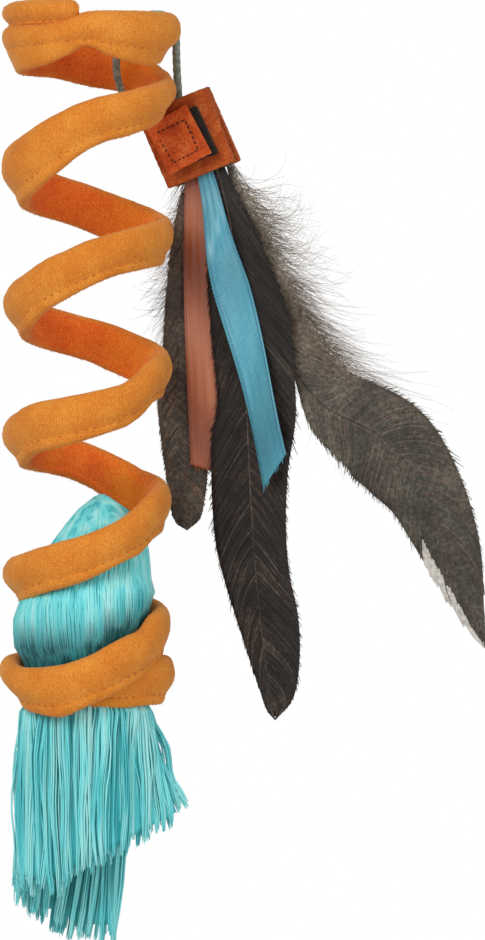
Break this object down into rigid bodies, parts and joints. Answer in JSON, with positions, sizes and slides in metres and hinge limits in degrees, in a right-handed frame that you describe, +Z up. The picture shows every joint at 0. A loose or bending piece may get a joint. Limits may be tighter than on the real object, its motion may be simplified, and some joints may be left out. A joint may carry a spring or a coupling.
{
  "type": "spring feather cat toy",
  "caption": "Hanging cat toy: plush covered wire coil with a top ring, a bound aqua tassel at its lower end, and a felt patch with ribbons and feathers on a cord.",
  "frame": {"origin": "centre of the top ring, from which the toy hangs", "axes": "+Z up along the coil's axis, -Y to the front, +X to the side of the feathers"},
  "size_m": [0.1469, 0.0497, 0.2883],
  "materials": {
    "plush": "short orange plush with a stitched seam",
    "wire": "drawn spring steel",
    "wire_tip": "dipped vinyl",
    "tassel": "silky aqua strands",
    "binding": "wound thread",
    "cord": "twisted grey-green cord",
    "rust_felt": "pressed wool felt",
    "black_felt": "pressed wool felt",
    "thread": "sewing thread",
    "copper_satin": "woven satin",
    "blue_satin": "woven satin",
    "feather": "natural feather"
  },
  "bodies": {
    "ring": {"top_ring": "plush", "coil_sleeve": "plush", "spring_wire": "wire", "wire_tip_top": "wire_tip", "hanging_cord": "cord"},
    "lower": {"tassel_wrap": "plush", "wire_tip_bottom": "wire_tip", "tassel_head": "tassel", "tassel_binding": "binding"},
    "skirt": {"tassel_front_skirt": "tassel", "tassel_back_skirt": "tassel"},
    "patch": {"patch_back": "rust_felt", "patch_core": "rust_felt", "patch_front": "rust_felt", "patch_spacer": "black_felt", "patch_face": "rust_felt", "patch_stitches": "thread"},
    "copper": {"copper_ribbon": "copper_satin"},
    "blue": {"blue_ribbon": "blue_satin"},
    "left_plume": {"feather_left": "feather"},
    "centre_plume": {"feather_centre": "feather"},
    "right_plume": {"feather_right": "feather"}
  },
  "joints": [
    {"name": "spring_stretch", "type": "slide", "parent": "ring", "child": "lower", "axis": [0, 0, -1], "range_m": [-0.04, 0.06], "stiffness_N_per_m": 12, "springref_m": -0.02281, "deforming": ["coil_sleeve", "spring_wire"]},
    {"name": "tassel_sway", "type": "hinge", "parent": "lower", "child": "skirt", "pos_m": [0, 0, -0.19635], "axis": [0, 1, 0], "range_deg": [-8, 8], "stiffness_Nm_per_rad": 0.005},
    {"name": "patch_swing", "type": "hinge", "parent": "ring", "child": "patch", "pos_m": [0.0258, 0.0162, -0.0216], "axis": [0.9659, -0.2588, 0], "range_deg": [0, 20], "stiffness_Nm_per_rad": 0.01},
    {"name": "copper_swing", "type": "hinge", "parent": "patch", "child": "copper", "pos_m": [0.03202, 0.01391, -0.0356], "axis": [-0.2588, -0.9659, 0], "range_deg": [-3, 12], "stiffness_Nm_per_rad": 0.004},
    {"name": "blue_swing", "type": "hinge", "parent": "patch", "child": "blue", "pos_m": [0.03502, 0.01119, -0.0356], "axis": [-0.2588, -0.9659, 0], "range_deg": [-10, 12], "stiffness_Nm_per_rad": 0.004},
    {"name": "left_swing", "type": "hinge", "parent": "patch", "child": "left_plume", "pos_m": [0.03104, 0.01526, -0.0356], "axis": [-0.2588, -0.9659, 0], "range_deg": [-1, 12], "stiffness_Nm_per_rad": 0.01},
    {"name": "centre_swing", "type": "hinge", "parent": "patch", "child": "centre_plume", "pos_m": [0.03751, 0.01161, -0.0346], "axis": [-0.2588, -0.9659, 0], "range_deg": [-8, 10], "stiffness_Nm_per_rad": 0.01},
    {"name": "right_swing", "type": "hinge", "parent": "patch", "child": "right_plume", "pos_m": [0.04125, 0.01397, -0.0341], "axis": [-0.2588, -0.9659, 0], "range_deg": [-12, 10], "stiffness_Nm_per_rad": 0.02}
  ]
}
